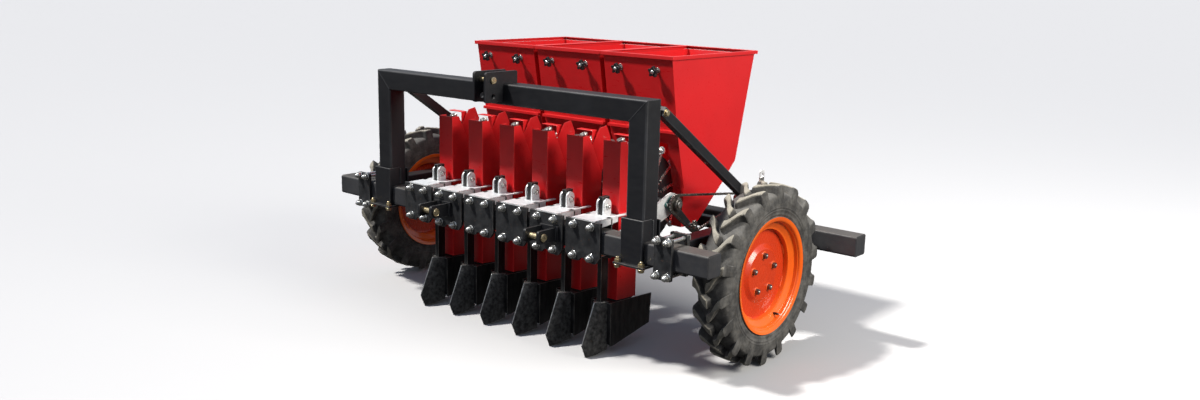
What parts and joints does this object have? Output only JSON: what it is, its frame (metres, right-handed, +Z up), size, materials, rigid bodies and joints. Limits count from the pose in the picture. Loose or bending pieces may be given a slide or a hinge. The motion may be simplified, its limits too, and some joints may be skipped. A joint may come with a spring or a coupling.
{
  "type": "tractor mounted row planter",
  "caption": "Tractor-mounted garlic and bulb planter: toolbars on lugged drive wheels, mast and hitch, hoppers, cup wheels, chutes and furrow openers, driven by roller chain.",
  "frame": {"origin": "on the ground, below the middle of the overall box, which is also below the wheel axle", "axes": "+X across the machine towards the operator's left, +Y backwards from the tractor, +Z up"},
  "size_m": [2.25, 1.09, 1.097],
  "materials": {
    "black_paint": "gloss paint over steel tube, dusty",
    "red_paint": "gloss red paint over sheet steel",
    "orange_paint": "gloss orange wheel paint",
    "galvanised": "hot-dip galvanised steel",
    "bright_zinc": "bright zinc plating",
    "yellow_zinc": "yellow passivated zinc plating",
    "bare_steel": "machined steel with oil film",
    "chain_steel": "oiled roller chain",
    "worn_steel": "black paint worn to steel on edges",
    "cup_metal": "black disc, bright arms and cups",
    "tyre_rubber": "dusty rubber",
    "knob_plastic": "black moulded knob with a bright centre"
  },
  "bodies": {
    "frame": {"front_toolbar": "black_paint", "rear_toolbar": "black_paint", "mast": "black_paint", "top_link_bracket": "black_paint", "hopper_crossbar": "black_paint", "metering_chain": "chain_steel", "wheel_chain": "chain_steel", "brace_left": "black_paint", "side_member_left": "black_paint", "side_clamp_left": "worn_steel", "bearing_bracket_left": "galvanised", "lower_hitch_left": "black_paint", "brace_right": "black_paint", "side_member_right": "black_paint", "side_clamp_right": "worn_steel", "bearing_bracket_right": "galvanised", "lower_hitch_right": "black_paint", "hopper_left": "red_paint", "hopper_middle": "red_paint", "hopper_right": "red_paint", "row_1_clamp": "galvanised", "row_1_opener": "worn_steel", "row_1_chute": "red_paint", "row_2_clamp": "galvanised", "row_2_opener": "worn_steel", "row_2_chute": "red_paint", "row_3_clamp": "galvanised", "row_3_opener": "worn_steel", "row_3_chute": "red_paint", "row_4_clamp": "galvanised", "row_4_opener": "worn_steel", "row_4_chute": "red_paint", "row_5_clamp": "galvanised", "row_5_opener": "worn_steel", "row_5_chute": "red_paint", "row_6_clamp": "galvanised", "row_6_opener": "worn_steel", "row_6_chute": "red_paint"},
    "left_wheel": {"wheel_left": "orange_paint", "tyre_left": "tyre_rubber"},
    "right_wheel": {"wheel_right": "orange_paint", "tyre_right": "tyre_rubber"},
    "metering_rotor": {"metering_shaft": "bare_steel", "row_1_cup_wheel": "cup_metal", "row_2_cup_wheel": "cup_metal", "row_3_cup_wheel": "cup_metal", "row_4_cup_wheel": "cup_metal", "row_5_cup_wheel": "cup_metal", "row_6_cup_wheel": "cup_metal"},
    "countershaft": {"countershaft": "bare_steel"},
    "idler": {"idler_sprocket": "bare_steel"},
    "knob_1": {"row_1_knob": "knob_plastic"},
    "knob_2": {"row_2_knob": "knob_plastic"},
    "knob_3": {"row_3_knob": "knob_plastic"},
    "knob_4": {"row_4_knob": "knob_plastic"},
    "knob_5": {"row_5_knob": "knob_plastic"},
    "knob_6": {"row_6_knob": "knob_plastic"},
    "top_link_pin": {"top_link_pin": "bright_zinc"},
    "lower_pin_left": {"lower_hitch_pin_left": "yellow_zinc"},
    "lower_pin_right": {"lower_hitch_pin_right": "yellow_zinc"}
  },
  "joints": [
    {"name": "left_wheel_spin", "type": "hinge", "parent": "frame", "child": "left_wheel", "pos_m": [0.917, 0, 0.336], "axis": [1, 0, 0], "continuous": true},
    {"name": "right_wheel_spin", "type": "hinge", "parent": "frame", "child": "right_wheel", "pos_m": [-0.917, 0, 0.336], "axis": [1, 0, 0], "continuous": true},
    {"name": "metering_spin", "type": "hinge", "parent": "frame", "child": "metering_rotor", "pos_m": [0, -0.065, 0.55], "axis": [1, 0, 0], "continuous": true},
    {"name": "countershaft_spin", "type": "hinge", "parent": "frame", "child": "countershaft", "pos_m": [0.7, 0.37, 0.509], "axis": [1, 0, 0], "continuous": true},
    {"name": "idler_spin", "type": "hinge", "parent": "frame", "child": "idler", "pos_m": [0.585, 0.062, 0.443], "axis": [1, 0, 0], "continuous": true},
    {"name": "knob_1_turn", "type": "hinge", "parent": "frame", "child": "knob_1", "pos_m": [0.45, -0.02764, 1.04], "axis": [0, -0.9857, -0.1687], "range_deg": [0, 330]},
    {"name": "knob_2_turn", "type": "hinge", "parent": "frame", "child": "knob_2", "pos_m": [0.27, -0.02764, 1.04], "axis": [0, -0.9857, -0.1687], "range_deg": [0, 330]},
    {"name": "knob_3_turn", "type": "hinge", "parent": "frame", "child": "knob_3", "pos_m": [0.09, -0.02764, 1.04], "axis": [0, -0.9857, -0.1687], "range_deg": [0, 330]},
    {"name": "knob_4_turn", "type": "hinge", "parent": "frame", "child": "knob_4", "pos_m": [-0.09, -0.02764, 1.04], "axis": [0, -0.9857, -0.1687], "range_deg": [0, 330]},
    {"name": "knob_5_turn", "type": "hinge", "parent": "frame", "child": "knob_5", "pos_m": [-0.27, -0.02764, 1.04], "axis": [0, -0.9857, -0.1687], "range_deg": [0, 330]},
    {"name": "knob_6_turn", "type": "hinge", "parent": "frame", "child": "knob_6", "pos_m": [-0.45, -0.02764, 1.04], "axis": [0, -0.9857, -0.1687], "range_deg": [0, 330]},
    {"name": "top_pin_slide", "type": "slide", "parent": "frame", "child": "top_link_pin", "axis": [1, 0, 0], "range_m": [0, 0.095]},
    {"name": "lower_pin_left_slide", "type": "slide", "parent": "frame", "child": "lower_pin_left", "axis": [1, 0, 0], "range_m": [0, 0.1]},
    {"name": "lower_pin_right_slide", "type": "slide", "parent": "frame", "child": "lower_pin_right", "axis": [1, 0, 0], "range_m": [0, 0.1]}
  ],
  "couplings": [
    {"joint": "countershaft_spin", "follows": "left_wheel_spin", "ratio": 2},
    {"joint": "metering_spin", "follows": "left_wheel_spin", "ratio": 1.1765},
    {"joint": "idler_spin", "follows": "left_wheel_spin", "ratio": 1.8182}
  ]
}
